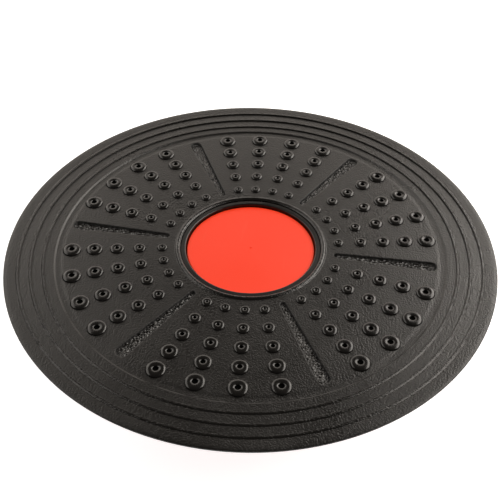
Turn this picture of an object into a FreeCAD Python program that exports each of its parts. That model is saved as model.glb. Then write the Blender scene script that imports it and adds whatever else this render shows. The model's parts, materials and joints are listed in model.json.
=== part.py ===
import FreeCAD, Part
import math
import os

# Balance board: a round deck with massage nubs on a dome unit whose height is set by turning it.
# Millimetres. +Z is up, and the origin is on the floor under the middle of the foot pad.
# The sectors of nubs are centred on +Y and every 60 degrees from it.

V = FreeCAD.Vector
UP = V(0, 0, 1)
ORIGIN = V(0, 0, 0)
os.makedirs("parts", exist_ok=True)

# ---------------------------------------------------------------- driving sizes
DECK_R = 200.0            # outer radius of the deck
DECK_Z = 77.5             # height of the deck's flat top face
SKIN = 3.6                # deck wall under the flat face
SECTORS = 6               # sectors of nubs, with one slot between each pair
RING_R = (73.0, 91.6, 110.1, 128.5, 147.0)   # radii of the nub rings
COLUMN_ANGLES = (-18.0, -6.0, 6.0, 18.0)     # nub columns about a sector's middle
DISC_R = 52.8             # radius of the plug's flat disc
DISC_DROP = 3.2           # disc's face below the deck's
TRAVEL = 15.0             # height adjustment
TURN = 90.0               # degrees of turn for the whole travel
DOME_R = 100.0            # radius of the rocking surface

# ---------------------------------------------------------------- fits and walls
RUNNING = 0.05            # radial clearance of the friction ring
WALL = 3.0                # general moulded wall
SEAT_GAP = 0.1            # between the foot pad and its seat
NECK_GAP = 0.3            # between the dome's spigot and the plug's neck
OVERLAP = 0.5             # how far a rib or pillar runs into what it stands on
QUARTER = 0.293           # share of a corner's radius that its round leaves out at mid-turn

# ---------------------------------------------------------------- nubs
# Each pair is the size on the innermost ring and on the outermost one.
NUB_R = (4.35, 7.75)      # outer radius
NUB_TOP_R = (2.25, 4.6)   # radius of the round crown's highest line
NUB_PIT_R = (0.75, 2.05)  # radius of the pit
NUB_H = (1.4, 1.8)        # height
NUB_PIT_RIM = 0.45        # height of the pit's rim, as a share of the nub's
NUB_PIT_Z = 0.1           # pit's floor above the deck's face
NUB_ROOT = 0.6            # how far a nub runs down into the deck

# ---------------------------------------------------------------- slots
SLOT_R = (69.0, 152.0)    # inner and outer ends
SLOT_HALF = (2.3, 4.9)    # half width at the inner and outer ends
SLOT_DEEP = 1.9
SLOT_FLARE = 0.5          # widening at the slot's mouth

# ---------------------------------------------------------------- rim
GUTTER_R = (153.0, 155.6, 159.3)   # where the shallow gutter starts to fall, levels out, and ends
GUTTER_DEEP = 0.4
STEP_R = 160.7            # top of the step up to the rim band
BEAD_R = (169.0, 179.0, 189.0)
BEAD_FOOT = (-1.35, 1.25)     # a bead's inner and outer foot, from its middle
BEAD_CREST = (-1.05, 0.5)     # the ends of its flat crest
BEAD_H = 0.55             # crest above the band outside the bead
BAND_Z = ((0.9, 0.9), (1.35, 1.3), (1.9, 1.8), (2.4, 2.7))   # each band's inner and outer height over the face
EDGE_ROUND = 1.25          # rounding of the rim's edge
SKIRT_R = 190.5           # outer radius of the stiffening ring under the rim
SKIRT_DEEP = 7.0          # how far the outer ribs hang below the skin
LIP_R = 60.4              # raised lip round the deck's hole
LIP_HALF = 2.1
LIP_H = 1.2
HOLE_R = 58.2

# ---------------------------------------------------------------- hub under the deck
HUB_R = 79.0
HUB_DEEP = 7.0            # thickening round the hole that takes the screws
RIBS = 24
RIB_HALF = 1.1
RIB_RING_R = (110.0, 152.0)
HUB_Z = DECK_Z - SKIN - HUB_DEEP             # underside of the hub

# ---------------------------------------------------------------- collar
COLLAR_OUT = 57.9
COLLAR_IN = DISC_R + 0.8
COLLAR_ROUND = 1.2        # rounding of its inner top edge
COLLAR_BEVEL = 0.4        # bevel of its outer top edge
COLLAR_TOP = DECK_Z - 0.5
COLLAR_BOTTOM = 27.0
FLANGE_R = 75.0
FLANGE_T = 3.4
FLANGE_Z = HUB_Z - FLANGE_T                  # underside of the collar's flange
GUSSETS = 12
GUSSET_START = 15.0       # angle of the first one
GUSSET_HALF = 1.0
GUSSET_DEEP = 14.0        # how far it runs down the collar's wall
COLLAR_SCREW_RING = 68.5
COLLAR_SCREWS = 6
COLLAR_SCREW_START = 30.0

# ---------------------------------------------------------------- tracks and lugs
TRACKS = 3
TRACK_DEEP = 2.8
TRACK_SLACK = 0.5         # free space round a lug in its track
SLACK_ANGLE = 0.6
LUG_H = 6.0
LUG_HALF = 8.0            # half the angle that a lug spans
LUG_Z = 48.0              # a lug's middle, with the dome unit fully in
STOP_BUMP_R = 0.7
STOP_BUMP_PAST = 1.3      # degrees from a lug at the end of its travel to the bump
ENTRY_ANGLE = TURN + 18.0    # where a lug enters the track from below
PITCH = TRAVEL * 360.0 / TURN

# ---------------------------------------------------------------- plug
DISC_Z = DECK_Z - DISC_DROP
DISC_T = 3.2
DISC_ROUND = 0.8          # rounding of the disc's edge
NECK_WALL = 4.0
WEBS = 8
WEB_HALF = 0.9
WEB_DEEP = 12.0
GATE_R = 1.1              # moulding mark in the middle of the disc
GATE_DEEP = 0.3
PLUG_SCREW_RING = 34.0
PLUG_SCREWS = 4
PLUG_SCREW_START = 45.0
PILLAR_R = 4.6

# ---------------------------------------------------------------- friction ring
RING_SECTION_R = 1.1
RING_Z = DISC_Z - 5.0
RING_MID_R = COLLAR_IN - RUNNING - RING_SECTION_R
RING_SEAT_R = RING_MID_R - RING_SECTION_R - RUNNING
RING_SIDE = 0.35          # space above and below the ring in its groove

# ---------------------------------------------------------------- dome shell
DOME_APEX = 1.6           # height at which the rocking surface would meet the axis
DOME_CENTRE_Z = DOME_APEX + DOME_R
DOME_WALL = 3.4
DOME_TOP = 58.0
DOME_LIP = 2.4            # outward lip at the bowl's rim
NECK_SEAT_Z = 22.0        # where the plug's neck stands in the bowl
SPIGOT_Z = 30.0
FLOOR_Z = 9.0             # inside floor over the foot pad
DOME_RIBS = 8
DOME_RIB_START = 22.5
DOME_RIB_HALF = 0.9
GRIPS = 24                # scallops round the bowl's lip
GRIP_R = 3.2

# ---------------------------------------------------------------- foot pad
PAD_R = 24.0
PAD_FLAT_R = 14.0
PAD_TOP = 5.6
STEM_R = 3.5
STEM_TOP = 12.0
STEM_BARB = 1.0           # how far the barb stands out that holds the stem in the dome's floor
PAD_SIDE_Z = 3.3          # where the pad's round side starts
PAD_GROOVE_R = (6.0, 10.0)
PAD_GROOVE_WIDE = 1.6
PAD_GROOVE_DEEP = 0.8

# ---------------------------------------------------------------- screws
SCREW_R = 1.7
PILOT_R = SCREW_R + 0.05
CLEAR_R = 2.2
HEAD_R = 3.7
HEAD_H = 2.4
POINT_LONG = 1.5
POINT_R = 0.4
RECESS_LONG = 4.0         # cross recess in the head
RECESS_WIDE = 0.9
RECESS_DEEP = 1.2
COLLAR_SCREW_LONG = 11.0
PLUG_SCREW_LONG = 25.0
PLUG_HEAD_Z = 13.0        # where the plug screws' heads bear in the dome shell
PILLAR_SEAT_Z = 26.0      # where the plug's pillars stand on the dome's


def polar(r, degrees, z=0.0):
    a = math.radians(degrees)
    return V(r * math.cos(a), r * math.sin(a), z)


def revolve(edges):
    """Turn a closed outline, drawn in the XZ plane, about the Z axis."""
    wire = Part.Wire(Part.__sortEdges__(edges))
    return Part.Face(wire).revolve(ORIGIN, UP, 360)


def outline(points):
    """Closed outline from a list of points; a point marked 'arc' is passed through on an arc."""
    edges = []
    path = list(points) + [points[0]]
    at = V(path[0][0], 0, path[0][1])
    i = 1
    while i < len(path):
        here = V(path[i][0], 0, path[i][1])
        if len(path[i]) == 3:
            after = V(path[i + 1][0], 0, path[i + 1][1])
            edges.append(Part.Arc(at, here, after).toShape())
            at = after
            i += 2
        else:
            edges.append(Part.LineSegment(at, here).toShape())
            at = here
            i += 1
    return edges


def turned(points):
    return revolve(outline(points))


def between(pair, share):
    """The size at a share of the way from the pair's first value to its second."""
    return pair[0] + share * (pair[1] - pair[0])


def tube(r_out, r_in, z0, z1):
    outer = Part.makeCylinder(r_out, z1 - z0, V(0, 0, z0))
    return outer.cut(Part.makeCylinder(r_in, z1 - z0 + 2, V(0, 0, z0 - 1)))


def around(shape, count, start=0.0):
    """Copies of a shape spread evenly about the Z axis."""
    copies = []
    for i in range(count):
        copy = shape.copy()
        copy.rotate(ORIGIN, UP, start + i * 360.0 / count)
        copies.append(copy)
    return copies


# ---------------------------------------------------------------- deck
def lip_line():
    """Three points of the raised lip's round top, from its inner foot to its outer one."""
    return [(LIP_R - LIP_HALF, DECK_Z), (LIP_R, DECK_Z + LIP_H, "arc"), (LIP_R + LIP_HALF, DECK_Z)]


def rim_line():
    """The top face from the gutter to the rim's edge: four rising bands with a bead between each pair."""
    gutter_z = DECK_Z - GUTTER_DEEP
    points = [(GUTTER_R[0], DECK_Z), (GUTTER_R[1], gutter_z), (GUTTER_R[2], gutter_z)]
    points.append((STEP_R, DECK_Z + BAND_Z[0][0]))
    for i, r in enumerate(BEAD_R):
        z_out = DECK_Z + BAND_Z[i + 1][0]
        points.append((r + BEAD_FOOT[0], DECK_Z + BAND_Z[i][1]))
        points.append((r + BEAD_CREST[0], z_out + BEAD_H))
        points.append((r + BEAD_CREST[1], z_out + BEAD_H))
        points.append((r + BEAD_FOOT[1], z_out))
    return points


def deck_disc():
    """The plain turned body: top face, lip, rim band with its beads, rim edge and hub thickening."""
    low = DECK_Z - SKIN
    edge_r = DECK_R - EDGE_ROUND
    edge_z = DECK_Z + BAND_Z[-1][1]
    points = [(HOLE_R, HUB_Z), (HOLE_R, DECK_Z)]
    points += lip_line()
    points += rim_line()
    points += [(edge_r, edge_z), (DECK_R, edge_z - EDGE_ROUND, "arc")]
    points += [(edge_r, edge_z - 2 * EDGE_ROUND), (SKIRT_R, low), (SKIRT_R, low - SKIRT_DEEP)]
    points += [(SKIRT_R - WALL, low - SKIRT_DEEP), (SKIRT_R - WALL, low)]
    points += [(HUB_R, low), (HUB_R, HUB_Z)]
    return turned(points)


def nub(ring):
    """A hollow nub: a ring with a round crown, falling outwards to the face and inwards to a small pit."""
    share = (RING_R[ring] - RING_R[0]) / (RING_R[-1] - RING_R[0])
    outer_r = between(NUB_R, share)
    top_r = between(NUB_TOP_R, share)
    pit_r = between(NUB_PIT_R, share)
    high = between(NUB_H, share)
    rim_z = NUB_PIT_RIM * high
    lean = math.sin(math.radians(45))
    points = [
        (0, -NUB_ROOT), (outer_r, -NUB_ROOT), (outer_r, 0),
        (top_r + lean * (outer_r - top_r), lean * high, "arc"), (top_r, high),
        (top_r - lean * (top_r - pit_r), rim_z + lean * (high - rim_z), "arc"), (pit_r, rim_z),
        (pit_r, NUB_PIT_Z), (0, NUB_PIT_Z)]
    body = turned(points)
    body.translate(V(RING_R[ring], 0, DECK_Z))
    return body


def slot_wire(widen, z):
    """Outline of a radial slot: straight tapering sides and round ends."""
    r0, r1 = SLOT_R
    h0 = SLOT_HALF[0] + widen
    h1 = SLOT_HALF[1] + widen
    c0 = r0 + SLOT_HALF[0]
    c1 = r1 - SLOT_HALF[1]
    corner = [V(c0, h0, z), V(c0, -h0, z), V(c1, -h1, z), V(c1, h1, z)]
    return Part.Wire([
        Part.Arc(corner[0], V(c0 - h0, 0, z), corner[1]).toShape(),
        Part.LineSegment(corner[1], corner[2]).toShape(),
        Part.Arc(corner[2], V(c1 + h1, 0, z), corner[3]).toShape(),
        Part.LineSegment(corner[3], corner[0]).toShape()])


def slot_cutter():
    mouth = DECK_Z - SLOT_FLARE
    floor = DECK_Z - SLOT_DEEP
    flare = Part.makeLoft([slot_wire(0, mouth), slot_wire(SLOT_FLARE, DECK_Z), ], True, True)
    above = Part.Face(slot_wire(SLOT_FLARE, DECK_Z)).extrude(V(0, 0, 1))
    well = Part.Face(slot_wire(0, floor)).extrude(V(0, 0, mouth - floor))
    return [flare.fuse(well).fuse(above).removeSplitter()]


def deck_rib():
    """One radial rib under the skin."""
    low = DECK_Z - SKIN
    outline_points = [
        V(HUB_R - 1, 0, low + OVERLAP), V(SKIRT_R - 1, 0, low + OVERLAP),
        V(SKIRT_R - 1, 0, low - SKIRT_DEEP + OVERLAP), V(HUB_R - 1, 0, low - HUB_DEEP + OVERLAP)]
    face = Part.Face(Part.makePolygon(outline_points + [outline_points[0]]))
    rib = face.extrude(V(0, 2 * RIB_HALF, 0))
    rib.translate(V(0, -RIB_HALF, 0))
    return rib


def make_deck():
    low = DECK_Z - SKIN
    body = deck_disc()
    extra = around(deck_rib(), RIBS, 360.0 / RIBS / 2)
    for r in RIB_RING_R:
        extra.append(tube(r + RIB_HALF, r - RIB_HALF, low - SKIRT_DEEP + 2 * OVERLAP, low + OVERLAP))
    body = body.multiFuse(extra)
    cutters = []
    for cutter in slot_cutter():
        cutters += around(cutter, SECTORS, 0.0)
    pilot = Part.makeCylinder(PILOT_R, COLLAR_SCREW_LONG - FLANGE_T + 2, V(COLLAR_SCREW_RING, 0, HUB_Z - 1))
    cutters += around(pilot, COLLAR_SCREWS, COLLAR_SCREW_START)
    body = body.cut(Part.makeCompound(cutters))
    nubs = []
    for sector in range(SECTORS):
        for column in COLUMN_ANGLES:
            for ring in range(len(RING_R)):
                copy = nub(ring)
                copy.rotate(ORIGIN, UP, 90.0 + sector * 360.0 / SECTORS + column)
                nubs.append(copy)
    return body.multiFuse(nubs)


# ---------------------------------------------------------------- collar
def helical_bar(r0, r1, height, start, end):
    """Bar of rectangular section along the lugs' path, from one angle to another; it falls as it turns."""
    rise = PITCH * (end - start) / 360.0
    path = Part.makeHelix(PITCH, rise, (r0 + r1) / 2)
    half = height / 2
    section = Part.makePolygon([
        V(r0, 0, -half), V(r1, 0, -half), V(r1, 0, half), V(r0, 0, half), V(r0, 0, -half)])
    bar = Part.Wire(path.Edges).makePipeShell([section], True, True)
    bar = bar.mirror(ORIGIN, UP)
    bar.rotate(ORIGIN, UP, start)
    bar.translate(V(0, 0, LUG_Z - PITCH * start / 360.0))
    return bar


def track_cutters():
    """One lug's track: the helical run and the upright channel the lug enters by."""
    near = COLLAR_IN - 1.5
    far = COLLAR_IN + TRACK_DEEP
    reach = LUG_HALF + SLACK_ANGLE
    run = helical_bar(near, far, LUG_H + 2 * TRACK_SLACK, -reach, ENTRY_ANGLE + reach)
    entry_top = LUG_Z - PITCH * (ENTRY_ANGLE - reach) / 360.0
    face = Part.Face(Part.Wire([
        Part.LineSegment(polar(near, -reach), polar(far, -reach)).toShape(),
        Part.Arc(polar(far, -reach), polar(far, 0), polar(far, reach)).toShape(),
        Part.LineSegment(polar(far, reach), polar(near, reach)).toShape(),
        Part.Arc(polar(near, reach), polar(near, 0), polar(near, -reach)).toShape()]))
    channel = face.extrude(V(0, 0, entry_top - COLLAR_BOTTOM + 1))
    channel.translate(V(0, 0, COLLAR_BOTTOM - 1))
    channel.rotate(ORIGIN, UP, ENTRY_ANGLE)
    return [run, channel]


def make_collar():
    mid = QUARTER * COLLAR_ROUND
    points = [
        (COLLAR_IN, COLLAR_BOTTOM), (COLLAR_IN, COLLAR_TOP - COLLAR_ROUND),
        (COLLAR_IN + mid, COLLAR_TOP - mid, "arc"), (COLLAR_IN + COLLAR_ROUND, COLLAR_TOP),
        (COLLAR_OUT - COLLAR_BEVEL, COLLAR_TOP), (COLLAR_OUT, COLLAR_TOP - COLLAR_BEVEL),
        (COLLAR_OUT, HUB_Z), (FLANGE_R, HUB_Z), (FLANGE_R, FLANGE_Z), (COLLAR_OUT, FLANGE_Z),
        (COLLAR_OUT, COLLAR_BOTTOM)]
    body = turned(points)
    foot = FLANGE_Z - GUSSET_DEEP
    gusset = Part.Face(Part.makePolygon([
        V(COLLAR_OUT - 1, 0, FLANGE_Z + 1), V(FLANGE_R - 2, 0, FLANGE_Z + 1), V(FLANGE_R - 2, 0, FLANGE_Z - 1),
        V(COLLAR_OUT + 1, 0, foot), V(COLLAR_OUT - 1, 0, foot), V(COLLAR_OUT - 1, 0, FLANGE_Z + 1)]))
    gusset = gusset.extrude(V(0, 2 * GUSSET_HALF, 0))
    gusset.translate(V(0, -GUSSET_HALF, 0))
    body = body.multiFuse(around(gusset, GUSSETS, GUSSET_START))
    cutters = []
    for cutter in track_cutters():
        cutters += around(cutter, TRACKS)
    hole = Part.makeCylinder(CLEAR_R, FLANGE_T + 2, V(COLLAR_SCREW_RING, 0, FLANGE_Z - 1))
    cutters += around(hole, COLLAR_SCREWS, COLLAR_SCREW_START)
    for cutter in cutters:
        body = body.cut(cutter)
    # A small bump in each track stops a lug short of its entry channel.
    bump = Part.makeCylinder(STOP_BUMP_R, LUG_H + 2, V(COLLAR_IN + TRACK_DEEP, 0, -LUG_H / 2 - 1))
    angle = TURN + LUG_HALF + STOP_BUMP_PAST
    bump.translate(V(0, 0, LUG_Z - PITCH * angle / 360.0))
    return body.multiFuse(around(bump, TRACKS, angle))


# ---------------------------------------------------------------- centre plug
def make_plug():
    mid = QUARTER * DISC_ROUND
    inner = DISC_R - NECK_WALL
    groove = RING_SECTION_R + RING_SIDE
    points = [
        (0, DISC_Z), (DISC_R - DISC_ROUND, DISC_Z),
        (DISC_R - mid, DISC_Z - mid, "arc"), (DISC_R, DISC_Z - DISC_ROUND),
        (DISC_R, RING_Z + groove), (RING_SEAT_R, RING_Z + groove),
        (RING_SEAT_R, RING_Z - groove), (DISC_R, RING_Z - groove),
        (DISC_R, NECK_SEAT_Z), (inner, NECK_SEAT_Z), (inner, DISC_Z - DISC_T), (0, DISC_Z - DISC_T)]
    body = turned(points)
    low = DISC_Z - DISC_T
    extra = []
    lug = helical_bar(DISC_R - 1.0, COLLAR_IN + TRACK_DEEP - TRACK_SLACK, LUG_H, -LUG_HALF, LUG_HALF)
    extra += around(lug, TRACKS)
    pillar = Part.makeCylinder(PILLAR_R, low - PILLAR_SEAT_Z + OVERLAP, V(PLUG_SCREW_RING, 0, PILLAR_SEAT_Z))
    extra += around(pillar, PLUG_SCREWS, PLUG_SCREW_START)
    web = Part.makeBox(inner + OVERLAP, 2 * WEB_HALF, WEB_DEEP + OVERLAP, V(0, -WEB_HALF, low - WEB_DEEP))
    extra += around(web, WEBS)
    body = body.multiFuse(extra)
    bore = Part.makeCylinder(PILOT_R, PLUG_SCREW_LONG - (PILLAR_SEAT_Z - PLUG_HEAD_Z) + 3,
                             V(PLUG_SCREW_RING, 0, PILLAR_SEAT_Z - 1))
    gate = Part.makeCylinder(GATE_R, 1.0, V(0, 0, DISC_Z - GATE_DEEP))
    nib = Part.makeCylinder(GATE_R / 2, GATE_DEEP, V(0, 0, DISC_Z - GATE_DEEP))
    return body.cut(Part.makeCompound(around(bore, PLUG_SCREWS, PLUG_SCREW_START) + [gate])).fuse(nib)


# ---------------------------------------------------------------- dome shell
def sphere_z(radius, r):
    """Height of the lower half of a sphere about the dome's centre, at distance r from the axis."""
    return DOME_CENTRE_Z - math.sqrt(radius ** 2 - r ** 2)


def sphere_r(radius, z):
    return math.sqrt(radius ** 2 - (DOME_CENTRE_Z - z) ** 2)


def make_dome():
    inside = DOME_R - DOME_WALL
    seat_in = DISC_R - NECK_WALL - NECK_GAP
    seat_out = DISC_R + 1.0
    start_r = PAD_R + SEAT_GAP
    floor_r = sphere_r(inside, FLOOR_Z)
    lip_z = DOME_TOP - 3.0
    mid_out = (start_r + sphere_r(DOME_R, lip_z)) / 2
    in_a = (floor_r + seat_in - 3) / 2
    in_b = (seat_out + sphere_r(inside, DOME_TOP)) / 2
    points = [
        (STEM_R + SEAT_GAP, PAD_TOP), (start_r, PAD_TOP), (start_r, sphere_z(DOME_R, start_r)),
        (mid_out, sphere_z(DOME_R, mid_out), "arc"), (sphere_r(DOME_R, lip_z), lip_z),
        (sphere_r(DOME_R, DOME_TOP) + DOME_LIP, lip_z + 0.6),
        (sphere_r(DOME_R, DOME_TOP) + DOME_LIP, DOME_TOP), (sphere_r(inside, DOME_TOP), DOME_TOP),
        (in_b, sphere_z(inside, in_b), "arc"), (seat_out, sphere_z(inside, seat_out)),
        (seat_out, NECK_SEAT_Z), (seat_in, NECK_SEAT_Z), (seat_in, SPIGOT_Z), (seat_in - 3, SPIGOT_Z),
        (seat_in - 3, sphere_z(inside, seat_in - 3)),
        (in_a, sphere_z(inside, in_a), "arc"), (floor_r, FLOOR_Z), (STEM_R + SEAT_GAP, FLOOR_Z)]
    body = turned(points)
    ball = Part.makeSphere(DOME_R - 1.0, V(0, 0, DOME_CENTRE_Z))
    rib_in = COLLAR_OUT + 3.0
    rib = Part.Face(Part.makePolygon([
        V(rib_in, -DOME_RIB_HALF, 20), V(95, -DOME_RIB_HALF, 20), V(95, -DOME_RIB_HALF, 54),
        V(rib_in + 22, -DOME_RIB_HALF, 50), V(rib_in, -DOME_RIB_HALF, 38), V(rib_in, -DOME_RIB_HALF, 20)]))
    rib = rib.extrude(V(0, 2 * DOME_RIB_HALF, 0)).common(ball)
    pillar = Part.makeCylinder(PILLAR_R, PILLAR_SEAT_Z - 6, V(PLUG_SCREW_RING, 0, 6)).common(ball)
    extra = around(rib, DOME_RIBS, DOME_RIB_START) + around(pillar, PLUG_SCREWS, PLUG_SCREW_START)
    body = body.multiFuse(extra)
    pocket = Part.makeCylinder(HEAD_R + 0.6, PLUG_HEAD_Z, V(PLUG_SCREW_RING, 0, 0))
    hole = Part.makeCylinder(CLEAR_R, PILLAR_SEAT_Z, V(PLUG_SCREW_RING, 0, 1))
    lip_r = sphere_r(DOME_R, DOME_TOP) + DOME_LIP
    grip = Part.makeCylinder(GRIP_R, 6, V(lip_r + 2.0, 0, lip_z - 1))
    cutters = around(pocket, PLUG_SCREWS, PLUG_SCREW_START) + around(hole, PLUG_SCREWS, PLUG_SCREW_START)
    cutters += around(grip, GRIPS)
    for cutter in cutters:
        body = body.cut(cutter)
    return body


# ---------------------------------------------------------------- small pieces
def make_pad():
    points = [(0, 0)]
    for r in PAD_GROOVE_R:
        far = r + PAD_GROOVE_WIDE
        points += [(r, 0), (r, PAD_GROOVE_DEEP), (far, PAD_GROOVE_DEEP), (far, 0)]
    points += [
        (PAD_FLAT_R, 0), (19.5, 1.35, "arc"), (PAD_R, PAD_SIDE_Z), (PAD_R, PAD_TOP), (STEM_R, PAD_TOP),
        (STEM_R, FLOOR_Z), (STEM_R + STEM_BARB, FLOOR_Z), (STEM_R + 0.6 * STEM_BARB, FLOOR_Z + 1.2),
        (STEM_R - 0.8, STEM_TOP), (0, STEM_TOP)]
    return turned(points)


def make_friction_ring():
    return Part.makeTorus(RING_MID_R, RING_SECTION_R, V(0, 0, RING_Z))


def screw(length):
    """Pan-head screw pointing up: the head's seat is at z = 0 and a cross recess is cut in its underside."""
    points = [
        (0, -HEAD_H), (0.55 * HEAD_R, -HEAD_H), (0.9 * HEAD_R, -0.75 * HEAD_H, "arc"), (HEAD_R, -0.3 * HEAD_H),
        (HEAD_R, 0), (SCREW_R, 0), (SCREW_R, length - POINT_LONG), (POINT_R, length), (0, length)]
    body = turned(points)
    for angle in (0, 90):
        corner = V(-RECESS_LONG / 2, -RECESS_WIDE / 2, -HEAD_H - 1)
        bar = Part.makeBox(RECESS_LONG, RECESS_WIDE, RECESS_DEEP + 1, corner)
        bar.rotate(ORIGIN, UP, angle)
        body = body.cut(bar)
    return body


def make_screws(length, ring_r, seat_z, count, start):
    one = screw(length)
    one.translate(V(ring_r, 0, seat_z))
    return Part.makeCompound(around(one, count, start))


def save(shape, name):
    shape.exportStep("parts/%s.step" % name)
    box = shape.BoundBox
    print("%-16s solids %d valid %s volume %.1f cm3 z %.2f..%.2f" % (
        name, len(shape.Solids), shape.isValid(), shape.Volume / 1000, box.ZMin, box.ZMax))


save(make_deck(), "deck")
save(make_collar(), "socket_collar")
collar_screws = make_screws(COLLAR_SCREW_LONG, COLLAR_SCREW_RING, FLANGE_Z, COLLAR_SCREWS, COLLAR_SCREW_START)
save(collar_screws, "collar_screws")
save(make_friction_ring(), "friction_ring")
save(make_plug(), "centre_plug")
save(make_dome(), "dome_shell")
plug_screws = make_screws(PLUG_SCREW_LONG, PLUG_SCREW_RING, PLUG_HEAD_Z, PLUG_SCREWS, PLUG_SCREW_START)
save(plug_screws, "plug_screws")
save(make_pad(), "foot_pad")
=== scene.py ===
# %% [markdown]
# # A balance board, finished in Blender
# The board is a black moulded deck on a red dome unit. Its shape and its moving bodies come from a packed
# CAD model, which is loaded here as a fixed frame. This lesson adds what a CAD model lacks: soft moulded
# edges, leather grain, the stippled slot floors, and light. Everything is in metres, with the origin on the
# floor under the middle of the board.

# %% Load the frame
import json
import math
import bmesh
import bpy
import numpy as np
from mathutils import Matrix, Vector


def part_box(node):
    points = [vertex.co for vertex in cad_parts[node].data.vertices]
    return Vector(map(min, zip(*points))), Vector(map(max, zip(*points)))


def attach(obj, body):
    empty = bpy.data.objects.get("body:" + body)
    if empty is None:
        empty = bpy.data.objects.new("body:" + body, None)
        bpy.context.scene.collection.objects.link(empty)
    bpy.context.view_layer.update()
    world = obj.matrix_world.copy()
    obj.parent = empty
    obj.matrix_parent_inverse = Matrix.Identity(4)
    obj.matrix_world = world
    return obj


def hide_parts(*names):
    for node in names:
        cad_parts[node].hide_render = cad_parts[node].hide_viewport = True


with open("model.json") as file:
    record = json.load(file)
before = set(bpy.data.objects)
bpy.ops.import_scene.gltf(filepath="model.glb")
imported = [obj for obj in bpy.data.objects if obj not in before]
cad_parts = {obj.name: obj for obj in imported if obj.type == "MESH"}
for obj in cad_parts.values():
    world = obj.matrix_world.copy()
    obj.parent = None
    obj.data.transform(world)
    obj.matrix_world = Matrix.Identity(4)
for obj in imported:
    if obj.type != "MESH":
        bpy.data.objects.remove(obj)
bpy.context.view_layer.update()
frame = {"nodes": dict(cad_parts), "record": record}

# %% [markdown]
# ## Sizes
# Positions are read off the CAD nodes' boxes, so that the finish always fits the frame. The sizes of the
# moulded pattern, which no box can tell, are repeated here in millimetres as on the drawing. `mm` turns
# them into metres when a mesh is made.

# %% Sizes of the deck and its pattern
mm = 0.001
deck_low, deck_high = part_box("deck")
CREST_HIGH = 2.95
DECK_R = 200.0
FACE_Z = deck_high[2] / mm - CREST_HIGH
SKIN = 3.6
HUB_Z = deck_low[2] / mm
SECTORS = 6
RING_R = np.array([73.0, 91.6, 110.1, 128.5, 147.0])
COLUMN_DEG = np.array([-18.0, -6.0, 6.0, 18.0])
print("flat face at %.2f mm, hub underside at %.2f mm" % (FACE_Z, HUB_Z))

# %% [markdown]
# ## From numbers to meshes
# A shape here is a grid of points worked out by numpy. One helper turns such a grid into a mesh: it joins
# each point to its neighbours, and can close the grid round one or both ways, as a tube or a ring is
# closed. Whole arrays go into the mesh at once, which is quicker and easier to read than a loop over
# points.

# %% Grid to mesh
def faces_of_grid(rows, columns, wrap_rows=False, wrap_columns=True):
    """Four-cornered faces of a grid: corner (i, j) joined to (i+1, j), (i+1, j+1) and (i, j+1)."""
    i = np.arange(rows if wrap_rows else rows - 1)[:, None]
    j = np.arange(columns if wrap_columns else columns - 1)[None, :]
    i_next = (i + 1) % rows
    j_next = (j + 1) % columns
    corners = [i * columns + j, i_next * columns + j, i_next * columns + j_next, i * columns + j_next]
    return np.stack([np.broadcast_to(c, (i.size, j.size)) for c in corners], axis=-1).reshape(-1, 4)


def mesh_object(name, points, faces, caps=()):
    """A smooth-shaded mesh from points in millimetres, four-cornered faces and any caps of more corners."""
    mesh = bpy.data.meshes.new(name)
    mesh.from_pydata((points.reshape(-1, 3) * mm).tolist(), [], faces.tolist() + [list(c) for c in caps])
    mesh.polygons.foreach_set("use_smooth", np.ones(len(mesh.polygons), dtype=bool))
    mesh.update()
    piece = bpy.data.objects.new(name, mesh)
    bpy.context.scene.collection.objects.link(piece)
    return piece


# %% Rounded outlines
def rounded(corners, steps=4):
    """Outline through corners (r, z, radius): each corner is replaced by an arc of its radius.

    The arc runs between the two tangent points, as a quadratic blend of tangent, corner and tangent.
    """
    path = []
    count = len(corners)
    for k, (r, z, radius) in enumerate(corners):
        here = np.array([r, z])
        before = np.array(corners[k - 1][:2]) - here
        after = np.array(corners[(k + 1) % count][:2]) - here
        if radius == 0:
            path.append(here[None])
            continue
        turn = math.acos(np.clip(before @ after / np.linalg.norm(before) / np.linalg.norm(after), -1, 1))
        reach = radius / math.tan(turn / 2)
        t = np.linspace(0, 1, steps + 1)[:, None]
        start = here + before / np.linalg.norm(before) * reach
        end = here + after / np.linalg.norm(after) * reach
        path.append((1 - t) ** 2 * start + 2 * t * (1 - t) * here + t ** 2 * end)
    return np.concatenate(path)


def turned(name, outline, angles):
    """Closed outline (r, z) carried round the upright axis: x = r cos a, y = r sin a, z = z."""
    r, z = outline[:, 0][:, None], outline[:, 1][:, None]
    points = np.stack([r * np.cos(angles), r * np.sin(angles), z + 0 * angles], axis=-1)
    return mesh_object(name, points, faces_of_grid(len(outline), len(angles), wrap_rows=True))


# %% [markdown]
# ## The deck's outline
# The deck is one moulding. Cut through, its top runs from the hole over a raised lip, across the flat
# field, down a shallow gutter, up a step and over three raised beads to the rounded rim. Its underside has
# a skirt near the rim and a thick hub. The outline could be drawn with curves, but as arrays it keeps the
# exact sizes and can be sampled finely just where the slots end. Beside each bead a point is put on
# the flat, half a millimetre away, so that smooth shading rounds only the bead and leaves the flat flat.

# %% Outline of the deck
def lip_line(count=13):
    """Round lip: an arc through both feet and the crest, r = middle + R sin a, z = high - R (1 - cos a)."""
    radius = (LIP_HALF ** 2 + LIP_HIGH ** 2) / (2 * LIP_HIGH)
    reach = math.asin(LIP_HALF / radius)
    a = np.linspace(-reach, reach, count)
    return np.stack([LIP_R + radius * np.sin(a), LIP_HIGH - radius * (1 - np.cos(a))], axis=-1)


def flat_line(start_r, end_r, spacing):
    """Points of the flat face at z = 0, from start_r by even steps; end_r itself is left out."""
    t = np.arange(0, 1, spacing / (end_r - start_r))
    return np.stack([start_r + t * (end_r - start_r), 0 * t], axis=-1)


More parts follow.
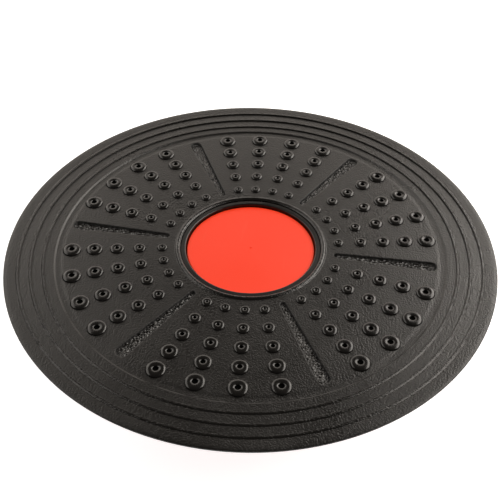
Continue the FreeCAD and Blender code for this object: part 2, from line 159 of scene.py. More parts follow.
HOLE_R, LIP_R, LIP_HALF, LIP_HIGH = 58.2, 60.4, 2.1, 1.2
FIELD_LINES = ((63.2, 68.0, 1.5), (68.0, 72.0, 0.25), (72.0, 146.5, 1.0), (146.5, 152.6, 0.3))
FIELD_END_R = 152.8
GUTTER_R, GUTTER_DEEP = (153.0, 155.6, 159.3), 0.22
STEP_R = 160.7
BEAD_R = (169.0, 179.0, 189.0)
BEAD_FOOT, BEAD_CREST, BEAD_HIGH = (-1.35, 1.25), (-1.05, 0.5), 0.55
BAND_Z = ((0.9, 0.9), (1.35, 1.3), (1.9, 1.8), (2.4, 2.7))
BEAD_ROUNDS = (0.12, 0.2, 0.45, 0.12)
SOFT_ROUND, CRISP_ROUND = 0.8, 0.3
FLAT_STARTS = 0.5
EDGE_ROUND = 1.25
EDGE_START_R, EDGE_START_RISE = 196.0, 0.06
SKIRT_R, SKIRT_WALL, SKIRT_DEEP, HUB_R = 190.5, 3.0, 7.0, 79.0
SKIRT_ROUND, HOLE_ROUND = 0.6, 0.4

top = [np.array([[HOLE_R, 0.0]]), lip_line()]
top += [flat_line(start_r, end_r, spacing) for start_r, end_r, spacing in FIELD_LINES]
rim = [(FIELD_END_R, 0.0, 0.0), (GUTTER_R[0], 0.0, SOFT_ROUND)]
rim += [(GUTTER_R[1], -GUTTER_DEEP, SOFT_ROUND), (GUTTER_R[2], -GUTTER_DEEP, CRISP_ROUND)]
rim += [(STEP_R, BAND_Z[0][0], CRISP_ROUND), (STEP_R + FLAT_STARTS, BAND_Z[0][0], 0.0)]
for k, r in enumerate(BEAD_R):
    inner_z, outer_z = BAND_Z[k][1], BAND_Z[k + 1][0]
    crest_z = outer_z + BEAD_HIGH
    rim += [(r + BEAD_FOOT[0] - FLAT_STARTS, inner_z, 0.0), (r + BEAD_FOOT[0], inner_z, BEAD_ROUNDS[0])]
    rim += [(r + BEAD_CREST[0], crest_z, BEAD_ROUNDS[1]), (r + BEAD_CREST[1], crest_z, BEAD_ROUNDS[2])]
    rim += [(r + BEAD_FOOT[1], outer_z, BEAD_ROUNDS[3]), (r + BEAD_FOOT[1] + FLAT_STARTS, outer_z, 0.0)]
top += [rounded(rim + [(EDGE_START_R, BAND_Z[-1][1] + EDGE_START_RISE, 0.0)])]
half_turn = np.linspace(math.pi / 2, -math.pi / 2, 11)
edge_r = DECK_R - EDGE_ROUND * (1 - np.cos(half_turn))
edge_z = BAND_Z[-1][1] - EDGE_ROUND + EDGE_ROUND * np.sin(half_turn)
top = np.concatenate(top + [np.stack([edge_r, edge_z], axis=-1)])
top[:, 1] += FACE_Z

under_z = FACE_Z - SKIN
skirt_z = under_z - SKIRT_DEEP
underside = rounded([
    (SKIRT_R, under_z, SOFT_ROUND), (SKIRT_R, skirt_z, SKIRT_ROUND),
    (SKIRT_R - SKIRT_WALL, skirt_z, SKIRT_ROUND), (SKIRT_R - SKIRT_WALL, under_z, SOFT_ROUND),
    (HUB_R, under_z, SOFT_ROUND), (HUB_R, HUB_Z, SOFT_ROUND), (HOLE_R, HUB_Z, HOLE_ROUND)])
deck_outline = np.concatenate([top, underside])
print("deck outline:", len(deck_outline), "points, out to r =", deck_outline[:, 0].max())

# %% [markdown]
# ## Slots
# Six tapered slots with round ends are sunk into the face between the sectors. Cutting them with a Boolean
# would leave ragged faces, so the skin's points are simply lowered inside each slot. A signed distance
# tells how far a point lies outside the slot's outline, and a smooth step of it gives a soft edge. The
# same measure, kept as an attribute of the mesh, later tells the material where floors and walls are.

# %% Slot depth
SLOT_C, SLOT_HALF = (71.3, 147.1), (2.3, 4.9)
SLOT_DEEP = 1.9
SLOT_MARGIN = (5.0, 6.0)
WALL_STARTS, WALL_WIDE = 0.45, 0.8
WALL_SHADE_AT, WALL_SHADE_HALF = -0.15, 0.9
STIPPLE = 0.22
FLOOR_SHARE = 0.98


def smooth_step(x):
    """0 below 0, 1 above 1, and 3x^2 - 2x^3 between."""
    x = np.clip(x, 0, 1)
    return x * x * (3 - 2 * x)


def slot_distance(r, angle):
    """Distance outside a tapered capsule: two circles of unlike radius, joined by their tangents."""
    sector = 2 * math.pi / SECTORS
    a = (angle + sector / 2) % sector - sector / 2
    along, across = r * np.cos(a) - SLOT_C[0], np.abs(r * np.sin(a))
    length = SLOT_C[1] - SLOT_C[0]
    lean = (SLOT_HALF[0] - SLOT_HALF[1]) / length
    stand = math.sqrt(1 - lean ** 2)
    k = -lean * across + stand * along
    inner_end = np.hypot(across, along) - SLOT_HALF[0]
    outer_end = np.hypot(across, along - length) - SLOT_HALF[1]
    side = across * stand + along * lean - SLOT_HALF[0]
    return np.where(k < 0, inner_end, np.where(k > stand * length, outer_end, side))


def sink_slots(points):
    """Lowers points of the face inside the slots, with a stippled floor from a fixed random seed.

    Returns how far each point lies in a slot, and how near it lies to a slot's wall, both from 0 to 1; the
    second mask places the painted shade on the walls.
    """
    r, angle = np.hypot(points[..., 0], points[..., 1]), np.arctan2(points[..., 1], points[..., 0])
    distance = slot_distance(r, angle)
    on_face = points[..., 2] > under_z + SKIN / 2
    on_face &= (r > SLOT_C[0] - SLOT_MARGIN[0]) & (r < SLOT_C[1] + SLOT_MARGIN[1])
    share = smooth_step((WALL_STARTS - distance) / WALL_WIDE) * on_face
    stipple = np.random.default_rng(7).uniform(-STIPPLE, STIPPLE, share.shape) * (share > FLOOR_SHARE)
    points[..., 2] -= share * SLOT_DEEP + stipple
    # Mask for the painted shade on the slot walls: near 1 along each wall, 0 away from it.
    wall = smooth_step(1 - np.abs(distance - WALL_SHADE_AT) / WALL_SHADE_HALF) * on_face
    return share, wall


# %% Deck skin
SECTOR_DEG = 360.0 / SECTORS
NEAR_SLOT_DEG = np.array([0, .45, .9, 1.3, 1.55, 1.7, 1.8, 1.88, 1.96, 2.06, 2.2, 2.45, 3.0])
between_slots = np.linspace(NEAR_SLOT_DEG[-1], SECTOR_DEG - NEAR_SLOT_DEG[-1], 25)[1:-1]
one_sector = np.concatenate([NEAR_SLOT_DEG, between_slots, SECTOR_DEG - NEAR_SLOT_DEG[:0:-1]])
deck_angles = np.radians((one_sector[None, :] + SECTOR_DEG * np.arange(SECTORS)[:, None]).ravel())
r, z = deck_outline[:, :1], deck_outline[:, 1:]
deck_points = np.stack([r * np.cos(deck_angles), r * np.sin(deck_angles), z + 0 * deck_angles], axis=-1)
in_slot, wall_painted_shade = sink_slots(deck_points)

# %% Masks for the deck's finish and the painted shade on slot walls
BEAD_RUB = 0.6
LIP_RUB = 1.6
deck_skin = mesh_object("deck_skin", deck_points, faces_of_grid(len(deck_outline), len(deck_angles), True))
radius = np.hypot(deck_points[..., 0], deck_points[..., 1])
on_top = deck_points[..., 2] > FACE_Z
on_crest = smooth_step(LIP_RUB - np.abs(radius - LIP_R) / LIP_HALF) * on_top
for bead in BEAD_R:
    on_crest += smooth_step(2 - np.abs(radius - bead - BEAD_RUB) / BEAD_RUB) * on_top
# slot_wall_shade places the painted shade on the slot walls.
for attribute, share in (("slot_floor", in_slot), ("slot_wall_shade", wall_painted_shade), ("rubbed_crest", on_crest)):
    mask = deck_skin.data.attributes.new(attribute, "FLOAT", "POINT")
    mask.data.foreach_set("value", share.ravel().astype(np.float32))
print("deck skin:", len(deck_skin.data.vertices), "points,", int((in_slot > 0.5).sum()), "of them in slots")

# %% [markdown]
# ## Massage nubs
# The nubs are rings with a round crown and a small pit, larger towards the rim. The pit is shallow in the
# mesh; its faces are painted near black as painted shade, standing for the shadow in a deep pit. Lathing one
# and placing 120 copies would do, but their proportions change from ring to ring, so all are worked out at
# once by broadcasting: the first axis of the array counts nubs, the second goes along the outline, the third
# round it. Each nub is closed by a foot under the face and by its pit's floor. The outline runs inwards,
# so its faces are turned about to point outwards.

# %% Nubs
NUB_R, NUB_TOP_R, NUB_PIT_R, NUB_HIGH = (4.35, 7.75), (2.25, 4.6), (0.75, 2.05), (1.4, 1.8)
PIT_RIM, PIT_FLOOR, NUB_ROOT = 0.45, 0.05, 0.5

ring, column, sector = np.meshgrid(np.arange(5), np.arange(4), np.arange(SECTORS), indexing="ij")
share = ((RING_R - RING_R[0]) / (RING_R[-1] - RING_R[0]))[ring.ravel()][:, None]
sizes = [pair[0] + share * (pair[1] - pair[0]) for pair in (NUB_R, NUB_TOP_R, NUB_PIT_R, NUB_HIGH)]
outer_r, top_r, pit_r, high = sizes
FIRST_SECTOR_DEG = 90.0
nub_a = np.radians(FIRST_SECTOR_DEG + SECTOR_DEG * sector.ravel() + COLUMN_DEG[column.ravel()])
nub_x = RING_R[ring.ravel()] * np.cos(nub_a)
nub_y = RING_R[ring.ravel()] * np.sin(nub_a)


def nub_outlines():
    """Radius and height along each nub's outline: a quarter ellipse up to the crown, one down to the pit.

    Outside, r = top + (outer - top) cos a and z = high sin a; inside, r = top - (top - pit) cos a and
    z falls from high to the pit's rim in the same way. Then the pit's wall goes down to its floor. The
    outline starts below the face, so that the closed foot of the nub is sunk in the deck.
    """
    up = np.radians([0, 12, 25, 38, 50, 61, 71, 81])
    down = np.radians([90, 78, 66, 54, 41, 27, 12, 0])
    r = [outer_r, top_r + (outer_r - top_r) * np.cos(up), top_r - (top_r - pit_r) * np.cos(down), pit_r]
    rise = PIT_RIM + (1 - PIT_RIM) * np.sin(down)
    z = [0 * high - NUB_ROOT, high * np.sin(up), high * rise, 0 * high + PIT_FLOOR]
    return np.concatenate(r, axis=1), np.concatenate(z, axis=1)


rho, rise = nub_outlines()
turn = np.linspace(0, 2 * math.pi, 28, endpoint=False)
nub_points = np.stack([
    nub_x[:, None, None] + rho[:, :, None] * np.cos(turn),
    nub_y[:, None, None] + rho[:, :, None] * np.sin(turn),
    FACE_Z + rise[:, :, None] + 0 * turn], axis=-1)
rows = rho.shape[1]
first_point = np.arange(len(rho)) * rows * len(turn)
one_nub = faces_of_grid(rows, len(turn))[:, ::-1]
nub_faces = (one_nub[None] + first_point[:, None, None]).reshape(-1, 4)
feet = first_point[:, None] + np.arange(len(turn))[::-1]
pit_floors = first_point[:, None] + (rows - 1) * len(turn) + np.arange(len(turn))
nubs = mesh_object("massage_nubs", nub_points, nub_faces, feet.tolist() + pit_floors.tolist())
is_pit_wall = np.repeat(np.arange(rows - 1) == rows - 2, len(turn))
nub_slots = np.concatenate([np.tile(is_pit_wall, len(rho)), np.zeros(len(rho)), np.ones(len(rho))])
nub_slots = nub_slots.astype(np.int32)
print("nubs:", len(rho), "of radius", outer_r.min(), "to", outer_r.max(), "mm")

# %% [markdown]
# ## Ribs under the deck
# Thin ribs stiffen the deck from below: 24 run outwards, and two are rings. A moulded rib is a little
# narrower at its foot so that it leaves the mould, and its foot is rounded. One section is carried along
# each rib. Its ends are sunk in the hub and the skirt and closed with a face, so the rib is watertight.

# %% Ribs
RIBS = 24
RIB_RING_R = (110.0, 152.0)
RIB_SINK = 0.5
RIB_HALF_WIDTHS = np.array([1.1, 0.95, 0.75, 0.3])
RIB_DEPTHS = np.array([-RIB_SINK, 5.6, 6.3, 6.5])
RIB_END_SINK = 1.0
one_side = np.stack([RIB_HALF_WIDTHS, under_z - RIB_DEPTHS], axis=-1)
rib_section = np.concatenate([one_side * [-1, 1], one_side[::-1]])
rib_a = 2 * math.pi / RIBS * (np.arange(RIBS) + 0.5)[:, None, None]
along = np.array([HUB_R - RIB_END_SINK, SKIRT_R - RIB_END_SINK])[None, :, None]
across = rib_section[None, None, :, 0]
rib_points = np.stack([
    along * np.cos(rib_a) - across * np.sin(rib_a), along * np.sin(rib_a) + across * np.cos(rib_a),
    rib_section[None, None, :, 1] + 0 * along * rib_a], axis=-1)
corners = len(rib_section)
first_corner = 2 * corners * np.arange(RIBS)
one_rib = faces_of_grid(2, corners)[:, ::-1]
rib_faces = (one_rib[None] + first_corner[:, None, None]).reshape(-1, 4)
inner_caps = first_corner[:, None] + np.arange(corners)[::-1]
outer_caps = first_corner[:, None] + corners + np.arange(corners)
deck_ribs = mesh_object("deck_ribs", rib_points, rib_faces, inner_caps.tolist() + outer_caps.tolist())

full_turn = np.linspace(0, 2 * math.pi, 180, endpoint=False)
ring_ribs = []
for k, ring_r in enumerate(RIB_RING_R):
    ring_ribs.append(turned("rib_ring_%d" % k, rib_section[::-1] + [ring_r, 0], full_turn))
print("ribs:", RIBS, "radial and", len(ring_ribs), "rings")


# %% [markdown]
# ## Smooth copies of the CAD pieces
# The collar, the plug, the dome shell and the small pieces already have the right shape, but the CAD mesh
# is loose triangles that would show as facets. Each is copied, its doubled points are merged, and it is
# shaded smooth except along edges that turn by more than 35 degrees. A Weighted Normal modifier lets the
# large flat faces decide the shading at their corners, so that long triangles leave no streaks. The copy
# stands for the CAD node.

# %% Smooth copies
SAME_POINT = 0.004


def smooth_copy(node, name, edge_degrees=35.0):
    """Merged, smooth-shaded copy of a CAD node's mesh, under a name of its own."""
    piece = frame["nodes"][node].copy()
    piece.data = frame["nodes"][node].data.copy()
    piece.name = piece.data.name = name
    bpy.context.scene.collection.objects.link(piece)
    shape = bmesh.new()
    shape.from_mesh(piece.data)
    bmesh.ops.remove_doubles(shape, verts=shape.verts, dist=SAME_POINT * mm)
    for edge in shape.edges:
        edge.smooth = len(edge.link_faces) == 2 and edge.calc_face_angle(0) < math.radians(edge_degrees)
    for face in shape.faces:
        face.smooth = True
    shape.to_mesh(piece.data)
    shape.free()
    even = piece.modifiers.new("even_shading", "WEIGHTED_NORMAL")
    even.mode = "FACE_AREA"
    even.keep_sharp = True
    return piece


copies = {node: smooth_copy(node, node + "_finished") for node in frame["nodes"] if node != "deck"}
print({name: len(piece.data.polygons) for name, piece in copies.items()})

# %% Each piece rides on its body
body_of = {node: body for body, nodes in frame["record"]["behaviour"]["bodies"].items() for node in nodes}
for node, piece in copies.items():
    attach(piece, body_of[node])
    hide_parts(node)
for piece in [deck_skin, nubs, deck_ribs] + ring_ribs:
    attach(piece, "board")
    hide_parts("deck")

# %% [markdown]
# ## Shader groups
# Moulded plastic shows three things at close range: the grain of the mould, small changes in gloss, and
# dust or rub marks where it is touched. Each is a node group, built once and used with other values in
# other materials. A group only puts out masks, values and normals; the shader stays in the material.

# %% A helper for node trees
def add(tree, kind, inputs=None, **settings):
    """A node of a kind, with its settings, and with inputs given as values or as sockets to link from."""
    node = tree.nodes.new(kind)
    for key, value in settings.items():
        setattr(node, key, value)
    for key, value in (inputs or {}).items():
        if isinstance(value, bpy.types.NodeSocket):
            tree.links.new(value, node.inputs[key])
        else:
            node.inputs[key].default_value = value
    return node


def new_group(name, inputs, outputs):
    """An empty shader group with float, vector or colour sockets; returns the tree and its two ends."""
    tree = bpy.data.node_groups.new(name, "ShaderNodeTree")
    kinds = {"float": "NodeSocketFloat", "vector": "NodeSocketVector", "colour": "NodeSocketColor"}
    for label, kind, value in inputs:
        socket = tree.interface.new_socket(label, in_out="INPUT", socket_type=kinds[kind])
        if value is not None:
            socket.default_value = value
    for label, kind in outputs:
        tree.interface.new_socket(label, in_out="OUTPUT", socket_type=kinds[kind])
    return tree, tree.nodes.new("NodeGroupInput"), tree.nodes.new("NodeGroupOutput")


# %% [markdown]
# ### Leather grain
# The mould of the deck is etched with a leather grain: small rounded islands about a millimetre across,
# with narrow valleys between. Voronoi cells give the islands, and a finer noise breaks them up. The group
# puts out a height for a Bump node.

# %% Grain group
GRAIN_WARP = 0.9 * mm


def make_grain():
    """Group for a leather grain's height: rounded Voronoi islands, mixed with a finer noise."""
    tree, start, end = new_group("leather_grain", [
        ("Position", "vector", None), ("Grain per metre", "float", 700.0), ("Fine share", "float", 0.35)],
        [("Height", "float")])
    place, size = start.outputs["Position"], start.outputs["Grain per metre"]
    warp = add(tree, "ShaderNodeTexNoise", {"Vector": place, "Scale": size, "Detail": 1.0})
    pull = add(tree, "ShaderNodeVectorMath", {0: warp.outputs["Color"], 1: (GRAIN_WARP,) * 3},
               operation="MULTIPLY")
    moved = add(tree, "ShaderNodeVectorMath", {0: place, 1: pull.outputs[0]}, operation="ADD")
    cells = add(tree, "ShaderNodeTexVoronoi", {"Vector": moved.outputs[0], "Scale": size},
                feature="SMOOTH_F1")
    cells.inputs["Smoothness"].default_value = 0.4
    islands = add(tree, "ShaderNodeMapRange", {"Value": cells.outputs["Distance"], "From Min": 0.75,
                                               "From Max": 0.15, "To Min": 0.0, "To Max": 1.0})
    finer = add(tree, "ShaderNodeMath", {0: size, 1: 2.7}, operation="MULTIPLY")
    fine = add(tree, "ShaderNodeTexNoise", {"Vector": place, "Scale": finer.outputs[0], "Detail": 2.0})
    mixed = add(tree, "ShaderNodeMix", {"Factor": start.outputs["Fine share"], "A": islands.outputs[0],
                                        "B": fine.outputs["Fac"]})
    tree.links.new(mixed.outputs[0], end.inputs["Height"])
    return tree


grain = make_grain()

# %% [markdown]
# ### Handling marks
# Feet and hands leave a plastic board with patches that are a little duller or shinier, and with a few
# fine scuffs. Two noises, one broad and one stretched thin, are turned into masks between 0 and 1.

# %% Handling group
def make_handling():
    """Group for two masks: broad patches of other gloss, and thin scuffs that run one way."""
    tree, start, end = new_group("handling_marks", [
        ("Position", "vector", None), ("Patches per metre", "float", 14.0),
        ("Scuffs per metre", "float", 160.0)], [("Patch", "float"), ("Scuff", "float")])
    place = start.outputs["Position"]
    broad = add(tree, "ShaderNodeTexNoise", {
        "Vector": place, "Scale": start.outputs["Patches per metre"], "Detail": 3.0})
    patch = add(tree, "ShaderNodeMapRange", {
        "Value": broad.outputs["Fac"], "From Min": 0.35, "From Max": 0.65})
    thin = add(tree, "ShaderNodeMapping", {
        "Vector": place, "Rotation": (0, 0, 0.6), "Scale": (1.0, 0.12, 1.0)})
    lines = add(tree, "ShaderNodeTexNoise", {
        "Vector": thin.outputs[0], "Scale": start.outputs["Scuffs per metre"], "Detail": 2.0})
    scuff = add(tree, "ShaderNodeMapRange", {
        "Value": lines.outputs["Fac"], "From Min": 0.66, "From Max": 0.74})
    tree.links.new(patch.outputs[0], end.inputs["Patch"])
    tree.links.new(scuff.outputs[0], end.inputs["Scuff"])
    return tree


handling = make_handling()

# %% [markdown]
# ### Rubbed edges
# Moulded plastic turns smoother and lighter where it is rubbed, first on nub tops and bead crests. The
# Pointiness of the Geometry node is high on such crests. The group turns it into a mask.

# %% Edge group
def make_edges():
    """Group for a mask of crests: the Pointiness between two limits, from 0 to 1."""
    tree, start, end = new_group("rubbed_edges", [("From", "float", 0.53), ("To", "float", 0.6)],
                                 [("Mask", "float")])
    sharpness = add(tree, "ShaderNodeNewGeometry").outputs["Pointiness"]
    crest = add(tree, "ShaderNodeMapRange", {
        "Value": sharpness, "From Min": start.outputs["From"], "From Max": start.outputs["To"]})
    tree.links.new(crest.outputs[0], end.inputs["Mask"])
    return tree


edges = make_edges()
print("groups:", [g.name for g in bpy.data.node_groups])

# %% [markdown]
# ## Materials
# Every material starts from the Principled shader with a plain base and gets the groups on top: grain into
# Bump, patches and scuffs into Roughness and a slight lightening of the colour. A function does what all
# the plastics share, and each plastic gives its own numbers.

# %% Plastic with grain
def plastic(name, colour, worn, roughness, grain_per_metre, grain_depth, edge_share=0.5, ior=1.5):
    """Grained plastic: colour goes towards worn on crests and scuffs, roughness varies with the patches."""
    material = bpy.data.materials.new(name)
    material.use_nodes = True
    tree = material.node_tree
    shader = tree.nodes["Principled BSDF"]
    shader.inputs["IOR"].default_value = ior
    place = add(tree, "ShaderNodeTexCoord").outputs["Object"]
    marks = add(tree, "ShaderNodeGroup", {}, node_tree=handling)
    tree.links.new(place, marks.inputs["Position"])
    crest = add(tree, "ShaderNodeGroup", {}, node_tree=edges)
    rub = add(tree, "ShaderNodeMath", {0: crest.outputs["Mask"], 1: edge_share}, operation="MULTIPLY")
    both = add(tree, "ShaderNodeMath", {0: marks.outputs["Scuff"], 1: 0.25, 2: rub.outputs[0]},
               operation="MULTIPLY_ADD", use_clamp=True)
    tint = add(tree, "ShaderNodeMix", {"Factor": both.outputs[0]}, data_type="RGBA")
    tint.inputs[6].default_value = (*colour, 1)
    tint.inputs[7].default_value = (*worn, 1)
    tree.links.new(tint.outputs[2], shader.inputs["Base Color"])
    gloss = add(tree, "ShaderNodeMapRange", {
        "Value": marks.outputs["Patch"], "To Min": roughness - 0.04, "To Max": roughness + 0.05})
    tree.links.new(gloss.outputs[0], shader.inputs["Roughness"])
    skin = add(tree, "ShaderNodeGroup", {}, node_tree=grain)
    tree.links.new(place, skin.inputs["Position"])
    skin.inputs["Grain per metre"].default_value = grain_per_metre
    bump = add(tree, "ShaderNodeBump", {"Height": skin.outputs["Height"], "Strength": 1.0,
                                        "Distance": grain_depth * mm})
    tree.links.new(bump.outputs[0], shader.inputs["Normal"])
    return material


BLACK, BLACK_WORN = (0.0062, 0.0056, 0.0050), (0.022, 0.021, 0.0195)
RED, RED_WORN = (0.86, 0.032, 0.008), (0.86, 0.07, 0.035)
deck_plastic = plastic("deck_plastic", BLACK, BLACK_WORN, 0.30, 740.0, 0.19)
nub_plastic = plastic("nub_plastic", BLACK, BLACK_WORN, 0.20, 900.0, 0.012)
collar_plastic = plastic("collar_plastic", BLACK, BLACK_WORN, 0.30, 900.0, 0.012)
plug_plastic = plastic("plug_plastic", RED, RED_WORN, 0.45, 1500.0, 0.006, edge_share=0.2)
dome_plastic = plastic("dome_plastic", RED, RED_WORN, 0.38, 1200.0, 0.01, edge_share=0.2)
pad_rubber = plastic("pad_rubber", (0.02, 0.02, 0.02), (0.06, 0.058, 0.055), 0.75, 1500.0, 0.02)
ring_rubber = plastic("ring_rubber", (0.015, 0.015, 0.015), (0.03, 0.03, 0.03), 0.55, 2000.0, 0.005)

# %% [markdown]
# ### Slot floors and nub pits
# The slots' floors are rough and sparkle: coarse stipple in the mould, glossier than the grain. Their walls
# are made dull and painted near black, as painted shade. The crests of the beads and the lip are rubbed
# glossy. The mesh carries an attribute from 0 to 1 for each of the three, and the material mixes by it. The
# pits in the nubs are dull and painted near black, as painted shade standing for the shadow in a deep pit,
# so their faces have a material slot of their own.

# %% Mixing by an attribute
def mix_by(material, mask, input_name, value):
    """Puts a mix before an input of the shader: what was linked there at mask 0, the value at mask 1."""
    tree = material.node_tree
    shader = tree.nodes["Principled BSDF"]
    socket = shader.inputs[input_name]
    before = socket.links[0].from_socket
    colour = socket.type == "RGBA"
    mix = tree.nodes.new("ShaderNodeMix")
    mix.data_type = "RGBA" if colour else "FLOAT"
    first, second, result = (6, 7, 2) if colour else (2, 3, 0)
    tree.links.new(mask, mix.inputs[0])
    tree.links.new(before, mix.inputs[first])
    mix.inputs[second].default_value = value
    tree.links.new(mix.outputs[result], socket)


def add_stipple(material):
    """Coarse glossy cells where slot_floor is 1, on a Bump before the grain's, and slot walls made dull and
    painted near black as painted shade.
    """
    tree = material.node_tree
    place = next(n for n in tree.nodes if n.type == "TEX_COORD").outputs["Object"]
    fine_bump = next(n for n in tree.nodes if n.type == "BUMP")
    mask = add(tree, "ShaderNodeAttribute", attribute_name="slot_floor")
    dots = add(tree, "ShaderNodeTexVoronoi", {"Vector": place, "Scale": STIPPLE_PER_METRE})
    height = add(tree, "ShaderNodeMath", {0: dots.outputs["Distance"], 1: mask.outputs["Fac"]},
                 operation="MULTIPLY")
    coarse = add(tree, "ShaderNodeBump", {
        "Height": height.outputs[0], "Strength": 1.0, "Distance": STIPPLE_DEEP * mm})
    tree.links.new(coarse.outputs[0], fine_bump.inputs["Normal"])
    mix_by(material, mask.outputs["Fac"], "Roughness", FLOOR_ROUGHNESS)
    # Painted shade: the slot walls get a dull, near-black colour where the wall mask is high.
    wall = add(tree, "ShaderNodeAttribute", attribute_name="slot_wall_shade")
    mix_by(material, wall.outputs["Fac"], "Roughness", WALL_ROUGHNESS)
    mix_by(material, wall.outputs["Fac"], "Base Color", SHADED_BLACK)


STIPPLE_PER_METRE, STIPPLE_DEEP = 400.0, 1.6
FLOOR_ROUGHNESS, WALL_ROUGHNESS, CREST_ROUGHNESS = 0.2, 0.85, 0.13
# Near-black colours of painted shade, for the slot walls and the nub pits.
SHADED_BLACK, MOTTLED_SHADE_BLACK = (0.001, 0.001, 0.001, 1), (0.004, 0.004, 0.0035, 1)
add_stipple(deck_plastic)
rubbed = add(deck_plastic.node_tree, "ShaderNodeAttribute", attribute_name="rubbed_crest")
mix_by(deck_plastic, rubbed.outputs["Fac"], "Roughness", CREST_ROUGHNESS)


# %% Painted shade in the pits of the nubs
def pit_shade():
    """Painted shade for the nub pits: dull and almost black, mottled by a fine noise."""
    material = bpy.data.materials.new("nub_pit_painted_shade")
    material.use_nodes = True
    tree = material.node_tree
    shader = tree.nodes["Principled BSDF"]
    shader.inputs["Specular IOR Level"].default_value = 0.0
    shader.inputs["Roughness"].default_value = 1.0
    place = add(tree, "ShaderNodeTexCoord").outputs["Object"]
    # A fine noise mottles the painted shade between two near-blacks.
    shade_mottle = add(tree, "ShaderNodeTexNoise", {"Vector": place, "Scale": 900.0, "Detail": 2.0})
    tint = add(tree, "ShaderNodeMix", {"Factor": shade_mottle.outputs["Fac"]}, data_type="RGBA")
    tint.inputs[6].default_value = SHADED_BLACK
    tint.inputs[7].default_value = MOTTLED_SHADE_BLACK
    tree.links.new(tint.outputs[2], shader.inputs["Base Color"])
    return material


nub_pit_painted_shade = pit_shade()

# %% [markdown]
# ### Red disc
# The disc is given a painted glow: a faint emission of its own colour, though it is no lamp, makes its red
# shine brighter. The glow is kept well below what the lights bring.

# %% Painted glow of the red disc
disc_shader = plug_plastic.node_tree.nodes["Principled BSDF"]
# Painted glow: the red disc emits a little light of its own colour though it is no lamp.
disc_shader.inputs["Emission Color"].default_value = (1.0, 0.07, 0.0, 1)
disc_shader.inputs["Emission Strength"].default_value = 0.16


# %% Screw steel
def screw_steel():
    """Zinc-plated steel: metallic, with fine patches of tone and gloss from a noise."""
    material = bpy.data.materials.new("screw_zinc")
    material.use_nodes = True
    tree = material.node_tree
    shader = tree.nodes["Principled BSDF"]
    shader.inputs["Metallic"].default_value = 1.0
    place = add(tree, "ShaderNodeTexCoord").outputs["Object"]
    marks = add(tree, "ShaderNodeGroup", {}, node_tree=handling)
    tree.links.new(place, marks.inputs["Position"])
    marks.inputs["Patches per metre"].default_value = 900.0
    tint = add(tree, "ShaderNodeMix", {"Factor": marks.outputs["Patch"]}, data_type="RGBA")
    tint.inputs[6].default_value = (0.62, 0.62, 0.60, 1)
    tint.inputs[7].default_value = (0.48, 0.48, 0.47, 1)
    tree.links.new(tint.outputs[2], shader.inputs["Base Color"])
    gloss = add(tree, "ShaderNodeMapRange", {
        "Value": marks.outputs["Patch"], "To Min": 0.28, "To Max": 0.42})
    tree.links.new(gloss.outputs[0], shader.inputs["Roughness"])
    return material


zinc = screw_steel()

# %% Materials on pieces
finish = {
    "socket_collar": collar_plastic, "centre_plug": plug_plastic, "dome_shell": dome_plastic,
    "foot_pad": pad_rubber, "friction_ring": ring_rubber, "collar_screws": zinc, "plug_screws": zinc}
for node, piece in copies.items():
    piece.data.materials.clear()
    piece.data.materials.append(finish[node])
    frame["nodes"][node].data.materials.clear()
    frame["nodes"][node].data.materials.append(finish[node])
for piece, material in [(deck_skin, deck_plastic), (nubs, nub_plastic), (deck_ribs, deck_plastic)]:
    piece.data.materials.append(material)
for piece in ring_ribs:
    piece.data.materials.append(deck_plastic)
# The pit faces of the nubs get the painted-shade material.
nubs.data.materials.append(nub_pit_painted_shade)
nubs.data.polygons.foreach_set("material_index", nub_slots)

# %% [markdown]
# ## The studio
# The board stands on a white table in a white room, with a large soft light on each side, the right one
# stronger, and a broad one behind. Nothing bright stands behind the camera, so the front of the deck
# mirrors a darker room, as it does in such a set-up. The table is faintly lit from within, as product
# tables are, which keeps the shadow pale.

# %% Table
def table_top(half, z):
    """Flat square at height z."""
    corners = np.array([[-half, -half, z], [half, -half, z], [half, half, z], [-half, half, z]])
    return mesh_object("table_top", corners, np.array([[0, 1, 2, 3]]))


TABLE_HALF = 6000.0
floor = table_top(TABLE_HALF, 0.0)
white = bpy.data.materials.new("table_white")
white.use_nodes = True
white_shader = white.node_tree.nodes["Principled BSDF"]
white_shader.inputs["Base Color"].default_value = (0.9, 0.9, 0.9, 1)
white_shader.inputs["Roughness"].default_value = 0.9
white_shader.inputs["Specular IOR Level"].default_value = 0.0
white_shader.inputs["Emission Color"].default_value = (1, 1, 1, 1)
white_shader.inputs["Emission Strength"].default_value = 0.85
floor.data.materials.append(white)


# %% Lights
def soft_light(name, place, size, watts, aim=(0, 0, 0.07), colour=(1, 1, 1)):
    """Rectangular area light at a place in metres, turned towards its aim."""
    lamp = bpy.data.lights.new(name, "AREA")
    lamp.shape = "RECTANGLE"
    lamp.size, lamp.size_y = size
    lamp.energy = watts
    lamp.color = colour
    light = bpy.data.objects.new(name, lamp)
    light.location = place
    light.rotation_euler = (Vector(aim) - Vector(place)).to_track_quat("-Z", "Y").to_euler()
    bpy.context.scene.collection.objects.link(light)
    return light


CAMERA_TURN = math.radians(9.17)
CAMERA_RISE = math.radians(42.88)
CAMERA_ROLL = math.radians(0.46)
CAMERA_FAR = 0.6914


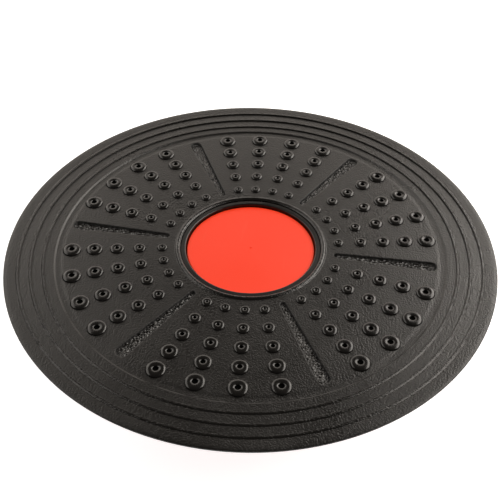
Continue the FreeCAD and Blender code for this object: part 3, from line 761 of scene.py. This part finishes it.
def from_camera(right, back, up):
    """A place given to the camera's right, away from it, and up, turned into the board's frame."""
    c, s = math.cos(CAMERA_TURN), math.sin(CAMERA_TURN)
    return (right * c - back * s, right * s + back * c, up)


WARM = (1.0, 0.91, 0.82)
SIDE = (1.0, 0.94, 0.87)
SIDE_PLACE, SIDE_SIZE = (1.22, 0.44, 1.16), (2.3, 0.9)
for name, hand, watts in (("right_softbox", 1, 34), ("left_softbox", -1, 13)):
    sideways, away, height = SIDE_PLACE
    soft_light(name, from_camera(hand * sideways, away, height), SIDE_SIZE, watts, colour=SIDE)
soft_light("back_sheet", from_camera(0.0, 2.2, 0.7), (4.5, 1.8), 34, colour=WARM)
room = bpy.data.worlds.new("room")
room.use_nodes = True
room.node_tree.nodes["Background"].inputs["Color"].default_value = (*WARM, 1)
room.node_tree.nodes["Background"].inputs["Strength"].default_value = 0.08
bpy.context.scene.world = room
bpy.context.scene.view_settings.view_transform = "Standard"

# %% [markdown]
# ## The camera
# A 60 mm lens looks down at about 43 degrees from 0.7 m. Its picture is a little rolled, and shifted down
# by about a hundredth of its width.

# %% Camera
AIM_OVER_FACE = 1.3
aim = Vector((0, 0, (FACE_Z + AIM_OVER_FACE) * mm))
back = Vector(from_camera(0, -math.cos(CAMERA_RISE), math.sin(CAMERA_RISE)))
across = Vector(from_camera(1, 0, 0))
upward = back.cross(across)
rolled_across = across * math.cos(CAMERA_ROLL) + upward * math.sin(CAMERA_ROLL)
rolled_upward = upward * math.cos(CAMERA_ROLL) - across * math.sin(CAMERA_ROLL)
lens = bpy.data.cameras.new("camera")
lens.sensor_width = 36.0
lens.lens = 60.16
lens.shift_x, lens.shift_y = -0.00127, -0.01173
camera = bpy.data.objects.new("camera", lens)
camera.matrix_world = Matrix.Translation(aim + back * CAMERA_FAR) @ Matrix((
    rolled_across, rolled_upward, back)).transposed().to_4x4()
bpy.context.scene.collection.objects.link(camera)
bpy.context.scene.camera = camera
print("camera at", tuple(round(c, 3) for c in camera.matrix_world.translation))
